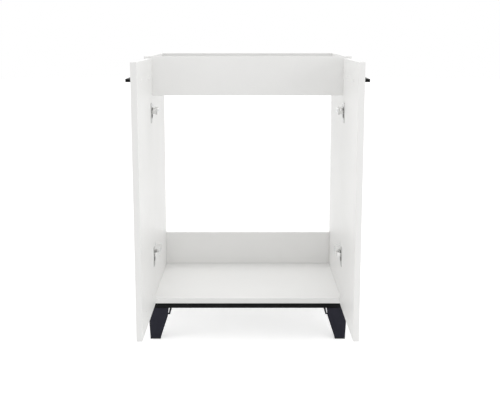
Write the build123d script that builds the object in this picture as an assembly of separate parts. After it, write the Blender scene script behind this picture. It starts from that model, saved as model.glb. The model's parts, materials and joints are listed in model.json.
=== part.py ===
from build123d import *
from math import cos, radians, sin
import os

# Sink base cabinet with two doors, standing open. All sizes are millimetres.
# While it is built, x runs across the cabinet from its middle plane, y runs back from the
# front edge of the side panels, and z runs up from the underside of the carcass.

# ---- carcass
CARCASS_WIDTH = 600.0
CARCASS_HEIGHT = 745.0
CARCASS_DEPTH = 362.0
PANEL = 16.0
FRONT_RAIL_HEIGHT = 113.0
REAR_TOP_RAIL_HEIGHT = 111.0
REAR_BOTTOM_RAIL_HEIGHT = 111.0
EDGE_BREAK = 0.5

# ---- screws that hold the boards together, with their cover caps
ASSEMBLY_HEAD_RADIUS = 4.9
ASSEMBLY_HEAD_LENGTH = 3.5
ASSEMBLY_HEAD_DEPTH = 1.0
ASSEMBLY_NECK_RADIUS = 3.4
ASSEMBLY_THREAD_RADIUS = 2.4
ASSEMBLY_THREAD_LENGTH = 34.0
RAIL_SCREW_INSET = 25.0
BOTTOM_SCREW_INSET = 60.0
CAP_RADIUS = 6.5
CAP_THICKNESS = 0.8
SCREW_CLEARANCE = 0.05
RECESS_LENGTH = 3.6
RECESS_WIDTH = 0.9
RECESS_DEPTH = 0.9

# ---- base frame of steel tube under the carcass
BASE_HEIGHT = 114.0
FRAME_TUBE_HEIGHT = 15.0
FRAME_TUBE_WIDTH = 30.0
FRAME_TUBE_WALL = 1.5
PLUG_THICKNESS = 2.0
PLUG_DEPTH = 10.0
PLUG_CLEARANCE = 0.2
BASE_SCREW_RADIUS = 2.0
BASE_SCREW_BITE = 12.0
BASE_SCREW_HEAD_RADIUS = 4.0
BASE_SCREW_HEAD = 2.5
BASE_SCREW_SPACING = 200.0
BASE_SIDE_SCREW_INSET = 23.0

# ---- folded legs
LEG_SHEET = 3.0
LEG_BEND_RADIUS = 4.0
LEG_TOP_REACH = 60.0
LEG_KNEE_REACH = 57.0
LEG_FOOT_REACH = 31.7
LEG_FOOT_INSET = 2.0
LEG_TAPER_START = 25.0
LEG_HEEL_START = 54.0
FOOT_CORNER_SHARE = 0.45
GLIDE_STEM_SHARE = 0.4
GLIDE_THICKNESS = 3.0
GLIDE_STEM_RADIUS = 3.0
GLIDE_STEM_CLEARANCE = 0.1
LEG_BOLT_RADIUS = 3.0
LEG_BOLT_HEAD_RADIUS = 5.5
LEG_BOLT_HEAD = 4.0
LEG_BOLT_GRIP = 10.0
LEG_BOLT_INSET = 12.0
STAY_TOP = 6.8
STAY_TOP_GAP = 2.8
STAY_FOOT_GAP = 1.62
STAY_HEEL = 6.02
STAY_LAP = 3.48
STAY_DROP = 21.0
STAY_FLANGE = 2.0
STAY_WIDTH = 8.0

# ---- doors, drawn at their rest position, a right angle open
DOOR_THICKNESS = 16.0
DOOR_REVEAL = 2.0
DOOR_MEETING_GAP = 4.0
DOOR_TOP_GAP = 6.0
DOOR_BOTTOM_GAP = 10.0
DOOR_SHUT_GAP = 2.0

# ---- handles and their screws
HANDLE_PITCH = 128.0
HANDLE_POST = 10.0
HANDLE_PROJECTION = 26.0
HANDLE_BAR_DEPTH = 9.0
HANDLE_BAR_HEIGHT = 8.0
HANDLE_CORNER = 4.0
HANDLE_EDGE_OFFSET = 50.0
HANDLE_SCREW_RADIUS = 2.0
HANDLE_SCREW_BITE = 14.0
HANDLE_SCREW_HEAD_RADIUS = 4.0
HANDLE_SCREW_HEAD = 1.5
DOOR_HOLE_RADIUS = 2.5
SPARE_HOLE_DEPTH = 12.0

# ---- concealed hinges
HINGE_INSET = 160.0
HINGE_AXIS_FROM_EDGE = 7.0
HINGE_AXIS_FROM_FACE = 15.0
CUP_RADIUS = 17.5
CUP_WALL = 1.2
CUP_DEPTH = 12.5
CUP_FLOOR = 0.8
CUP_EDGE_DISTANCE = 5.0
CUP_CLEARANCE = 0.05
FLANGE_THICKNESS = 1.3
FLANGE_RIM_RADIUS = 18.5
FLANGE_LENGTH = 58.0
FLANGE_WIDTH = 24.0
FLANGE_CORNER = 4.0
FLANGE_EDGE_BREAK = 0.3
CUP_FLOOR_FILLET = 1.5
CUP_SCREW_SPACING = 45.0
CUP_SCREW_OFFSET = 9.5
CUP_SCREW_RADIUS = 1.7
CUP_SCREW_BITE = 12.0
CUP_SCREW_HEAD_RADIUS = 3.2
CUP_SCREW_HEAD = 1.3
LINK_AXIS_ACROSS = -27.0
LINK_AXIS_BACK = 7.0
LINK_LENGTH = 21.0
LINK_REST_ANGLE = -45.0
LINK_HALF_WIDTH = 1.8
LINK_EYE_RADIUS = 2.2
LINK_CHEEK = 1.2
LINK_HALF_HEIGHT = 4.8
LINK_BARREL_HALF_HEIGHT = 6.3
PIN_RADIUS = 1.0
PIN_CLEARANCE = 0.05
ARM_SHEET = 1.0
ARM_SIDE_CLEARANCE = 0.3
ARM_EYE_RADIUS = 2.4
ARM_NOSE_HALF_WIDTH = 2.3
ARM_BODY_WIDENING = 0.7
ARM_JOGGLE = 5.0
ARM_FOLD_RADIUS = 0.8
ARM_WEB_INSET = 2.0
ARM_WEB_FRONT = 8.0
ARM_BACK = 60.0
ARM_LIFT = 3.5
ARM_SLOT_TRAVEL = 5.0
ARM_SCREW_LINE = 37.0
ARM_ADJUSTER_LINE = 20.0
ARM_SCREW_RADIUS = 2.0
ARM_SCREW_HEAD_RADIUS = 4.2
ARM_ADJUSTER_RADIUS = 2.6
ARM_SCREW_HEAD = 1.6
ARM_SCREW_BITE = 4.0
PLATE_THICKNESS = 1.5
PLATE_WING_SPAN = 48.0
PLATE_WING_WIDTH = 17.0
PLATE_BLOCK_FRONT = 14.0
PLATE_BLOCK_BACK = 57.0
PLATE_BLOCK_CLEARANCE = 0.4
PLATE_TUNNEL_ROOF = 2.0
PLATE_TUNNEL_WALL = 1.3
PLATE_TUNNEL_HEIGHT = 8.0
PLATE_SCREW_SPACING = 32.0
PLATE_SCREW_RADIUS = 2.0
PLATE_SCREW_BITE = 12.0
PLATE_SCREW_HEAD_RADIUS = 3.6
PLATE_SCREW_HEAD = 1.5

# ---- places that follow from the sizes above, for the right-hand side
HALF_WIDTH = CARCASS_WIDTH / 2
PANEL_FACE = HALF_WIDTH - PANEL
DOOR_WIDTH = HALF_WIDTH - DOOR_REVEAL - DOOR_MEETING_GAP / 2
DOOR_HEIGHT = CARCASS_HEIGHT - DOOR_TOP_GAP - DOOR_BOTTOM_GAP
# The shut door's hinge-side inner corner is at (HALF_WIDTH - DOOR_REVEAL, -DOOR_SHUT_GAP).
# The hinge axis stands off that corner, and turning the corner a right angle about it
# gives the open door's inner face and hinge edge.
AXIS_X = HALF_WIDTH - DOOR_REVEAL - HINGE_AXIS_FROM_EDGE
AXIS_Y = -DOOR_SHUT_GAP - HINGE_AXIS_FROM_FACE
DOOR_FACE = AXIS_X - HINGE_AXIS_FROM_FACE
DOOR_EDGE = AXIS_Y + HINGE_AXIS_FROM_EDGE
DOOR_FRONT = DOOR_FACE + DOOR_THICKNESS
DOOR_FREE_EDGE = DOOR_EDGE - DOOR_WIDTH
DOOR_MIDDLE = DOOR_EDGE - DOOR_WIDTH / 2
DOOR_TOP = DOOR_BOTTOM_GAP + DOOR_HEIGHT
CUP_Y = DOOR_EDGE - CUP_EDGE_DISTANCE - CUP_RADIUS
HINGE_HEIGHTS = {"upper": CARCASS_HEIGHT - HINGE_INSET, "lower": HINGE_INSET}
HANDLE_HOLES = [DOOR_MIDDLE + HANDLE_PITCH / 2, DOOR_MIDDLE - HANDLE_PITCH / 2]
HANDLE_Z = DOOR_TOP - HANDLE_EDGE_OFFSET
SPARE_HOLE_Z = DOOR_BOTTOM_GAP + HANDLE_EDGE_OFFSET
LINK_X = AXIS_X + LINK_AXIS_ACROSS
LINK_Y = AXIS_Y + LINK_AXIS_BACK
ARM_INSIDE = LINK_BARREL_HALF_HEIGHT + ARM_SIDE_CLEARANCE
ARM_OUTSIDE = ARM_INSIDE + ARM_SHEET
ARM_BODY_INSIDE = ARM_INSIDE + ARM_BODY_WIDENING
ARM_WEB = LINK_X + ARM_WEB_INSET
ARM_FOOT = PANEL_FACE - PLATE_THICKNESS - ARM_LIFT
FRAME_BOTTOM = -FRAME_TUBE_HEIGHT
FOOT_BOTTOM = GLIDE_THICKNESS - BASE_HEIGHT

# The origin of the finished part is on the floor, below the middle of its open outline.
TO_ORIGIN = Location((0, -(DOOR_FREE_EDGE + CARCASS_DEPTH) / 2, BASE_HEIGHT))


# ---- helpers
def block(x, y, z):
    """Box from three (low, high) pairs."""
    size = [high - low for low, high in (x, y, z)]
    middle = [(low + high) / 2 for low, high in (x, y, z)]
    return Pos(*middle) * Box(*size)


def board(x, y, z):
    """Board with lightly broken edges."""
    plain = block(x, y, z)
    return chamfer(plain.edges(), EDGE_BREAK)


def rod(start, direction, length, radius):
    """Cylinder from a start point along a direction."""
    plane = Plane(origin=start, z_dir=direction)
    return plane * Cylinder(radius, length, align=(Align.CENTER, Align.CENTER, Align.MIN))


def cross_recess(top):
    """Cross-shaped cutter for the middle of a screw head whose top plane is given."""
    depth = 2 * RECESS_DEPTH
    cross = Box(RECESS_LENGTH, RECESS_WIDTH, depth) + Box(RECESS_WIDTH, RECESS_LENGTH, depth)
    return top * cross


def screw_head(start, direction, height, radius):
    """Rounded screw head with a cross recess, standing on a start point."""
    seat = Plane(origin=start, z_dir=direction)
    head = Cylinder(radius, height, align=(Align.CENTER, Align.CENTER, Align.MIN))
    head = fillet(head.edges().group_by(Axis.Z)[-1], height / 2)
    return seat * head - cross_recess(seat.offset(height))


def plate_xy(points, low, high):
    """Prism whose outline lies in x and y."""
    outline = Plane.XY.offset(low) * make_face(Polyline(*points, close=True))
    return extrude(outline, high - low, dir=(0, 0, 1))


def other_side(shape):
    """The left-hand twin of a right-hand piece."""
    return mirror(shape, about=Plane.YZ)


def fuse(*pieces):
    """One solid out of pieces that meet."""
    whole = pieces[0]
    for piece in pieces[1:]:
        whole = whole + piece
    return whole


def export_node(name, *solids):
    """Write one sub-part, a single solid or a group of separate ones."""
    placed = [TO_ORIGIN * solid for solid in solids]
    shape = placed[0] if len(placed) == 1 else Compound(children=placed)
    export_step(shape, f"parts/{name}.step")


# ---- carcass boards and the screws in their ends
def rail_screw_places(y_middle, low, high):
    """Two screws in the end of an upright rail."""
    return [(y_middle, low + RAIL_SCREW_INSET), (y_middle, high - RAIL_SCREW_INSET)]


FRONT_RAIL_Z = (CARCASS_HEIGHT - FRONT_RAIL_HEIGHT, CARCASS_HEIGHT)
REAR_TOP_RAIL_Z = (CARCASS_HEIGHT - REAR_TOP_RAIL_HEIGHT, CARCASS_HEIGHT)
REAR_BOTTOM_RAIL_Z = (PANEL, PANEL + REAR_BOTTOM_RAIL_HEIGHT)
REAR_Y = (CARCASS_DEPTH - PANEL, CARCASS_DEPTH)
FRONT_SCREWS = rail_screw_places(PANEL / 2, *FRONT_RAIL_Z)
REAR_TOP_SCREWS = rail_screw_places(CARCASS_DEPTH - PANEL / 2, *REAR_TOP_RAIL_Z)
REAR_BOTTOM_SCREWS = rail_screw_places(CARCASS_DEPTH - PANEL / 2, *REAR_BOTTOM_RAIL_Z)
BOTTOM_SCREWS = [
    (BOTTOM_SCREW_INSET, PANEL / 2),
    (CARCASS_DEPTH - BOTTOM_SCREW_INSET, PANEL / 2),
]
ALL_SCREWS = FRONT_SCREWS + REAR_TOP_SCREWS + REAR_BOTTOM_SCREWS + BOTTOM_SCREWS


def assembly_screw(y, z, gap):
    """Stepped screw through the right side panel, grown by a gap to cut its hole."""
    head = HALF_WIDTH - ASSEMBLY_HEAD_DEPTH
    neck = PANEL - ASSEMBLY_HEAD_DEPTH - ASSEMBLY_HEAD_LENGTH
    inward = (-1, 0, 0)
    return fuse(
        rod((head, y, z), inward, ASSEMBLY_HEAD_LENGTH, ASSEMBLY_HEAD_RADIUS + gap),
        rod((head - ASSEMBLY_HEAD_LENGTH, y, z), inward, neck, ASSEMBLY_NECK_RADIUS + gap),
        rod((PANEL_FACE, y, z), inward, ASSEMBLY_THREAD_LENGTH, ASSEMBLY_THREAD_RADIUS + gap),
    )


def screw_cap(y, z):
    """Cover cap: a thin disc outside with a plug down to the screw's head."""
    plug_radius = ASSEMBLY_HEAD_RADIUS - PLUG_CLEARANCE
    disc = rod((HALF_WIDTH, y, z), (1, 0, 0), CAP_THICKNESS, CAP_RADIUS)
    disc = fillet(disc.edges().group_by(Axis.X)[-1], CAP_THICKNESS / 2)
    return disc + rod((HALF_WIDTH, y, z), (-1, 0, 0), ASSEMBLY_HEAD_DEPTH, plug_radius)


def screw_recess(y, z):
    """The open mouth of a screw's hole, above its head."""
    start = (HALF_WIDTH - ASSEMBLY_HEAD_DEPTH, y, z)
    return rod(start, (1, 0, 0), ASSEMBLY_HEAD_DEPTH, ASSEMBLY_HEAD_RADIUS + SCREW_CLEARANCE)


def side_panel():
    """Right side panel, drilled for the boards' screws and the hinge plates' screws."""
    panel = board((PANEL_FACE, HALF_WIDTH), (0, CARCASS_DEPTH), (0, CARCASS_HEIGHT))
    for y, z in ALL_SCREWS:
        panel -= assembly_screw(y, z, SCREW_CLEARANCE)
        panel -= screw_recess(y, z)
    for z in HINGE_HEIGHTS.values():
        for hole in plate_screw_shanks(z, SCREW_CLEARANCE):
            panel -= hole
    return panel


def crosswise_board(y, z, screws):
    """Board between the side panels, with its screws' holes at both ends."""
    piece = board((-PANEL_FACE, PANEL_FACE), y, z)
    for place in screws:
        hole = assembly_screw(*place, SCREW_CLEARANCE)
        piece -= hole
        piece -= other_side(hole)
    return piece


def bottom_panel():
    piece = crosswise_board((0, CARCASS_DEPTH), (0, PANEL), BOTTOM_SCREWS)
    for x, y in base_screw_places():
        hole = rod((x, y, 0), (0, 0, 1), BASE_SCREW_BITE, BASE_SCREW_RADIUS + SCREW_CLEARANCE)
        piece -= hole
    return piece


# ---- base frame, legs and their fastenings
def base_screw_places():
    """Three screws up through the front and rear tubes and one through each side tube."""
    middle = FRAME_TUBE_WIDTH / 2
    rear = CARCASS_DEPTH - middle
    across = [-BASE_SCREW_SPACING, 0, BASE_SCREW_SPACING]
    places = [(x, y) for y in (middle, rear) for x in across]
    side = HALF_WIDTH - BASE_SIDE_SCREW_INSET
    return places + [(-side, CARCASS_DEPTH / 2), (side, CARCASS_DEPTH / 2)]


def base_screw(x, y, gap):
    """Pan-head screw from below a frame tube into the bottom panel."""
    length = FRAME_TUBE_HEIGHT + BASE_SCREW_BITE
    return rod((x, y, FRAME_BOTTOM), (0, 0, 1), length, BASE_SCREW_RADIUS + gap)


def base_screw_with_head(x, y):
    down = (0, 0, -1)
    head = screw_head((x, y, FRAME_BOTTOM), down, BASE_SCREW_HEAD, BASE_SCREW_HEAD_RADIUS)
    return base_screw(x, y, 0) + head


def tube(x, y):
    """Rectangular steel tube along its longer side, open at both ends."""
    wall = FRAME_TUBE_WALL
    along_x = x[1] - x[0] > y[1] - y[0]
    inner_x = x if along_x else (x[0] + wall, x[1] - wall)
    inner_y = (y[0] + wall, y[1] - wall) if along_x else y
    outer = block(x, y, (FRAME_BOTTOM, 0))
    corner_edges = outer.edges().filter_by(Axis.X if along_x else Axis.Y)
    outer = fillet(corner_edges, wall)
    return outer - block(inner_x, inner_y, (FRAME_BOTTOM + wall, -wall))


def drill_frame(piece):
    """Cut a frame tube's holes for the screws into the board and for the legs' bolts."""
    for x, y in base_screw_places():
        piece -= base_screw(x, y, SCREW_CLEARANCE)
    for x, y in all_leg_bolt_places():
        piece -= leg_bolt_shank(x, y, SCREW_CLEARANCE)
    return piece


def cross_tube(y_low):
    """Front or rear tube of the base frame, between its two end plugs."""
    reach = HALF_WIDTH - PLUG_THICKNESS
    return drill_frame(tube((-reach, reach), (y_low, y_low + FRAME_TUBE_WIDTH)))


def side_tube():
    """Right-hand tube of the base frame, between the front and rear ones."""
    y = (FRAME_TUBE_WIDTH, CARCASS_DEPTH - FRAME_TUBE_WIDTH)
    return drill_frame(tube((HALF_WIDTH - FRAME_TUBE_WIDTH, HALF_WIDTH), y))


def end_plug(y_low):
    """Plastic plug that closes the right-hand end of a cross tube."""
    reach = HALF_WIDTH - PLUG_THICKNESS
    y = (y_low, y_low + FRAME_TUBE_WIDTH)
    cover = block((reach, HALF_WIDTH), y, (FRAME_BOTTOM, 0))
    cover = fillet(cover.edges().filter_by(Axis.X), FRAME_TUBE_WALL)
    inset = FRAME_TUBE_WALL + PLUG_CLEARANCE
    tongue_y = (y_low + inset, y_low + FRAME_TUBE_WIDTH - inset)
    tongue = block((reach - PLUG_DEPTH, reach), tongue_y, (FRAME_BOTTOM + inset, -inset))
    return cover + tongue


def leg_section(z, reach, inset):
    """Bent-sheet outline of a leg at one height: two equal wings with a rounded bend."""
    out = HALF_WIDTH - inset
    end = HALF_WIDTH - reach
    wing = [(end, inset), (out, inset), (out, reach), (out - LEG_SHEET, reach)]
    inside = [(out - LEG_SHEET, inset + LEG_SHEET), (end, inset + LEG_SHEET)]
    face = make_face(Polyline(*wing, *inside, close=True))
    corners = face.vertices()
    bend = corners.sort_by(lambda v: v.X - v.Y)[-1]
    root = corners.sort_by_distance((out - LEG_SHEET, inset + LEG_SHEET, 0))[0]
    face = fillet(bend, LEG_BEND_RADIUS)
    root = face.vertices().sort_by_distance(root)[0]
    face = fillet(root, LEG_BEND_RADIUS - LEG_SHEET)
    return Pos(0, 0, z) * face


def leg_reach(z):
    """How far a leg's wings reach in from the carcass corner: little taper above the knee."""
    knee = FRAME_BOTTOM - LEG_TAPER_START
    if z > knee:
        return LEG_KNEE_REACH + (z - knee) / LEG_TAPER_START * (LEG_TOP_REACH - LEG_KNEE_REACH)
    share = (knee - z) / (knee - FOOT_BOTTOM)
    return LEG_KNEE_REACH + share * (LEG_FOOT_REACH + LEG_FOOT_INSET - LEG_KNEE_REACH)


def leg_top_plate():
    """Plate under the frame, inside a leg's bend, with its free corner cut off."""
    low = HALF_WIDTH - LEG_TOP_REACH
    inner = HALF_WIDTH - LEG_SHEET / 2
    near = LEG_SHEET / 2
    corner = LEG_TOP_REACH / 2
    points = [
        (low + LEG_SHEET, near),
        (inner, near),
        (inner, LEG_TOP_REACH - LEG_SHEET),
        (inner - corner, LEG_TOP_REACH - LEG_SHEET),
        (low + LEG_SHEET, near + corner),
    ]
    return plate_xy(points, FRAME_BOTTOM - LEG_SHEET, FRAME_BOTTOM)


def foot_outline(margin):
    """Pad-shaped outline at the foot of a leg: a square with its free corner cut off."""
    out = HALF_WIDTH - LEG_FOOT_INSET - margin
    near = LEG_FOOT_INSET + margin
    far = LEG_FOOT_REACH + LEG_FOOT_INSET - margin
    low = HALF_WIDTH - far
    cut = (far - near) * FOOT_CORNER_SHARE
    return [(low, near), (out, near), (out, far), (out - cut, far), (low, near + cut)]


def glide_centre():
    """Middle of the pad under a leg."""
    middle = LEG_FOOT_INSET + LEG_FOOT_REACH * GLIDE_STEM_SHARE
    return HALF_WIDTH - middle, middle


def leg():
    """Front right leg: folded sheet with a top plate for its bolts and a foot plate."""
    heel = FRAME_BOTTOM - LEG_HEEL_START
    taper = FRAME_BOTTOM - LEG_TAPER_START
    heights = [(FRAME_BOTTOM, 0), (taper, 0), (heel, 0), (FOOT_BOTTOM, LEG_FOOT_INSET)]
    sections = [leg_section(z, leg_reach(z), inset) for z, inset in heights]
    wings = loft(sections, ruled=True)
    foot = plate_xy(foot_outline(LEG_SHEET / 2), FOOT_BOTTOM, FOOT_BOTTOM + LEG_SHEET)
    body = fuse(wings, leg_top_plate(), foot)
    for x, y in leg_bolt_places():
        body -= leg_bolt_shank(x, y, SCREW_CLEARANCE)
    stem_hole = GLIDE_STEM_RADIUS + GLIDE_STEM_CLEARANCE
    return body - rod((*glide_centre(), FOOT_BOTTOM), (0, 0, 1), LEG_SHEET, stem_hole)


def glide():
    """Plastic pad under a leg, held by a stem through the foot plate."""
    pad = plate_xy(foot_outline(0), -BASE_HEIGHT, FOOT_BOTTOM)
    pad = fillet(pad.edges().filter_by(Axis.Z), LEG_BEND_RADIUS / 2)
    stem = rod((*glide_centre(), FOOT_BOTTOM), (0, 0, 1), LEG_SHEET, GLIDE_STEM_RADIUS)
    return pad + stem


def leg_bolt_places():
    """Bolts of the front right leg, one up into each tube that meets above it."""
    tube_middle = FRAME_TUBE_WIDTH / 2
    far = FRAME_TUBE_WIDTH + LEG_BOLT_INSET
    return [(HALF_WIDTH - far, tube_middle), (HALF_WIDTH - tube_middle, far)]


def all_leg_bolt_places():
    """The same bolts at all four legs."""
    places = []
    for x, y in leg_bolt_places():
        for across in (x, -x):
            places += [(across, y), (across, CARCASS_DEPTH - y)]
    return places


def leg_bolt_shank(x, y, gap):
    start = (x, y, FRAME_BOTTOM - LEG_SHEET)
    return rod(start, (0, 0, 1), LEG_SHEET + LEG_BOLT_GRIP, LEG_BOLT_RADIUS + gap)


def leg_bolt(x, y):
    """Hexagon bolt from below a leg's top plate."""
    plane = Plane.XY.offset(FRAME_BOTTOM - LEG_SHEET - LEG_BOLT_HEAD)
    outline = plane * Pos(x, y) * RegularPolygon(LEG_BOLT_HEAD_RADIUS, 6)
    head = extrude(outline, LEG_BOLT_HEAD, dir=(0, 0, 1))
    return head + leg_bolt_shank(x, y, 0)


def leg_stay():
    """Slanted bar from the frame down beside a leg's edge, with a flange behind its wing."""
    top = FRAME_BOTTOM
    foot = top - STAY_DROP
    top_edge = HALF_WIDTH - LEG_TOP_REACH
    foot_edge = HALF_WIDTH - leg_reach(foot)
    points = [
        (top_edge - STAY_TOP_GAP - STAY_TOP, top),
        (top_edge - STAY_TOP_GAP, top),
        (foot_edge - STAY_FOOT_GAP, foot + STAY_FLANGE),
        (foot_edge + STAY_LAP, foot + STAY_FLANGE),
        (foot_edge + STAY_LAP, foot),
        (foot_edge - STAY_HEEL, foot),
    ]
    outline = Plane.XZ.offset(-LEG_SHEET) * make_face(Polyline(*points, close=True))
    return extrude(outline, STAY_WIDTH, dir=(0, 1, 0))


def four_corners(shape):
    """A front right piece and its twins at the other three corners."""
    middle = Plane.XZ.offset(-CARCASS_DEPTH / 2)
    rear = mirror(shape, about=middle)
    return [shape, other_side(shape), rear, other_side(rear)]


# ---- doors and handles
def handle_screw_shank(y, gap):
    """Shank through the door into the handle's post, or the post's hole for it."""
    length = DOOR_THICKNESS + HANDLE_SCREW_BITE
    return rod((DOOR_FACE, y, HANDLE_Z), (1, 0, 0), length, HANDLE_SCREW_RADIUS + gap)


def door():
    """Right door with cup pockets, handle holes and the spare holes near its foot."""
    x = (DOOR_FACE, DOOR_FRONT)
    leaf = board(x, (DOOR_FREE_EDGE, DOOR_EDGE), (DOOR_BOTTOM_GAP, DOOR_TOP))
    for y in HANDLE_HOLES:
        leaf -= rod((DOOR_FACE, y, HANDLE_Z), (1, 0, 0), DOOR_THICKNESS, DOOR_HOLE_RADIUS)
        leaf -= rod((DOOR_FACE, y, SPARE_HOLE_Z), (1, 0, 0), SPARE_HOLE_DEPTH, DOOR_HOLE_RADIUS)
    for z in HINGE_HEIGHTS.values():
        pocket = CUP_RADIUS + CUP_CLEARANCE
        leaf -= rod((DOOR_FACE, CUP_Y, z), (1, 0, 0), CUP_DEPTH + CUP_CLEARANCE, pocket)
        for place in cup_screw_places(z):
            leaf -= cup_screw_body(place, SCREW_CLEARANCE)
    return leaf


def handle():
    """Bridge handle along the top of the right door, its bar standing off on two posts."""
    half = (HANDLE_PITCH + HANDLE_POST) / 2
    grip = HANDLE_PROJECTION - HANDLE_BAR_DEPTH
    outline = Pos(HANDLE_PROJECTION / 2, 0) * Rectangle(HANDLE_PROJECTION, 2 * half)
    outer_corners = outline.vertices().group_by(Axis.X)[-1]
    outline = fillet(outer_corners, HANDLE_CORNER)
    opening = Pos(grip / 2, 0) * Rectangle(grip, HANDLE_PITCH - HANDLE_POST)
    inner_corners = opening.vertices().group_by(Axis.X)[-1]
    opening = fillet(inner_corners, HANDLE_CORNER / 2)
    base = Plane.XY.offset(HANDLE_Z - HANDLE_BAR_HEIGHT / 2)
    bridge = extrude(base * (outline - opening), HANDLE_BAR_HEIGHT, dir=(0, 0, 1))
    bridge = chamfer(bridge.edges().group_by(Axis.Z)[-1], EDGE_BREAK)
    bridge = chamfer(bridge.edges().group_by(Axis.Z)[0], EDGE_BREAK)
    bridge = Pos(DOOR_FRONT, DOOR_MIDDLE) * bridge
    for y in HANDLE_HOLES:
        bridge -= handle_screw_shank(y, SCREW_CLEARANCE)
    return bridge


def handle_screw(y):
    """Machine screw from inside the door, with its head on the inner face."""
    start = (DOOR_FACE, y, HANDLE_Z)
    head = screw_head(start, (-1, 0, 0), HANDLE_SCREW_HEAD, HANDLE_SCREW_HEAD_RADIUS)
    return head + handle_screw_shank(y, 0)


# ---- hinge pieces on the door
def cup_screw_places(z):
    """A cup's two screws, beside its middle on the side away from the door's edge."""
    y = CUP_Y - CUP_SCREW_OFFSET
    half = CUP_SCREW_SPACING / 2
    return [(y, z - half), (y, z + half)]


def cup_screw_body(place, gap):
    """Countersunk screw, flush with the flange, grown by a gap to cut its hole."""
    face = DOOR_FACE - FLANGE_THICKNESS
    wide, narrow = CUP_SCREW_HEAD_RADIUS + gap, CUP_SCREW_RADIUS + gap
    seat = Plane(origin=(face, *place), z_dir=(1, 0, 0))
    head = seat * Cone(wide, narrow, CUP_SCREW_HEAD, align=(Align.CENTER, Align.CENTER, Align.MIN))
    return head + rod((face, *place), (1, 0, 0), FLANGE_THICKNESS + CUP_SCREW_BITE, narrow)


def cup_screw(place):
    top = Plane(origin=(DOOR_FACE - FLANGE_THICKNESS, *place), z_dir=(-1, 0, 0))
    return cup_screw_body(place, 0) - cross_recess(top)


def hinge_cup(z):
    """Drawn steel cup in the door, with a flange that carries its two screws."""
    outward = (1, 0, 0)
    face = DOOR_FACE - FLANGE_THICKNESS
    rim = rod((face, CUP_Y, z), outward, FLANGE_THICKNESS, FLANGE_RIM_RADIUS)
    wings = Plane.YZ.offset(face) * Pos(CUP_Y - CUP_SCREW_OFFSET, z)
    wings *= RectangleRounded(FLANGE_WIDTH, FLANGE_LENGTH, FLANGE_CORNER)
    flange = rim + extrude(wings, FLANGE_THICKNESS, dir=outward)
    flange = chamfer(flange.edges().group_by(Axis.X)[0], FLANGE_EDGE_BREAK)
    shell = rod((DOOR_FACE, CUP_Y, z), outward, CUP_DEPTH, CUP_RADIUS)
    shell = fillet(shell.edges().group_by(Axis.X)[-1], CUP_FLOOR_FILLET)
    inner_depth = FLANGE_THICKNESS + CUP_DEPTH - CUP_FLOOR
    hollow = rod((face, CUP_Y, z), outward, inner_depth, CUP_RADIUS - CUP_WALL)
    hollow = fillet(hollow.edges().group_by(Axis.X)[-1], CUP_FLOOR_FILLET / 2)
    cup = flange + shell - hollow
    for place in cup_screw_places(z):
        cup -= cup_screw_body(place, SCREW_CLEARANCE)
    return cup


# ---- hinge pieces on the side panel
def link_tip():
    """Where the link's free end is at rest, inside the cup."""
    turn = radians(LINK_REST_ANGLE)
    return LINK_X + LINK_LENGTH * cos(turn), LINK_Y + LINK_LENGTH * sin(turn)


def cross_pin(x, y, z, half_height, gap):
    """Pin along the hinge axis, or its hole."""
    return rod((x, y, z - half_height), (0, 0, 1), 2 * half_height, PIN_RADIUS + gap)


def arm_widths(z, nose, body):
    """Arm outline seen along x: a narrow nose that widens in a joggle to the body."""
    front = LINK_Y - ARM_EYE_RADIUS
    joggle_end = ARM_WEB_FRONT + ARM_JOGGLE
    upper = [(front, nose), (ARM_WEB_FRONT, nose), (joggle_end, body), (ARM_BACK, body)]
    lower = [(y, -half) for y, half in reversed(upper)]
    outline = make_face(Polyline(*upper, *lower, close=True))
    return Plane.YZ * Pos(0, z) * outline


def arm_blank(z):
    """The arm as a solid bar, before its channel is cut: its side view within its widths."""
    side_view = [
        (LINK_X - ARM_NOSE_HALF_WIDTH, LINK_Y),
        (LINK_X + ARM_NOSE_HALF_WIDTH, LINK_Y),
        (ARM_WEB + ARM_EYE_RADIUS * 2, ARM_WEB_FRONT - ARM_EYE_RADIUS * 2),
        (ARM_FOOT, ARM_WEB_FRONT + ARM_EYE_RADIUS * 2),
        (ARM_FOOT, ARM_BACK),
        (ARM_WEB, ARM_BACK),
        (ARM_WEB, ARM_WEB_FRONT),
    ]
    low, high = z - ARM_BODY_INSIDE - ARM_SHEET, z + ARM_BODY_INSIDE + ARM_SHEET
    eye = rod((LINK_X, LINK_Y, low), (0, 0, 1), high - low, ARM_EYE_RADIUS)
    side = plate_xy(side_view, low, high) + eye
    widths = arm_widths(z, ARM_OUTSIDE, ARM_BODY_INSIDE + ARM_SHEET)
    return side & extrude(widths, ARM_FOOT, dir=(1, 0, 0))


def arm_slot(z):
    """Slot in the arm's web along which its fixing screw can be set."""
    width = 2 * (ARM_SCREW_RADIUS + SCREW_CLEARANCE)
    place = Plane.YZ.offset(ARM_WEB) * Pos(ARM_SCREW_LINE, z)
    slot = SlotCenterToCenter(ARM_SLOT_TRAVEL, width)
    return extrude(place * slot, ARM_SHEET, dir=(1, 0, 0))


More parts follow.
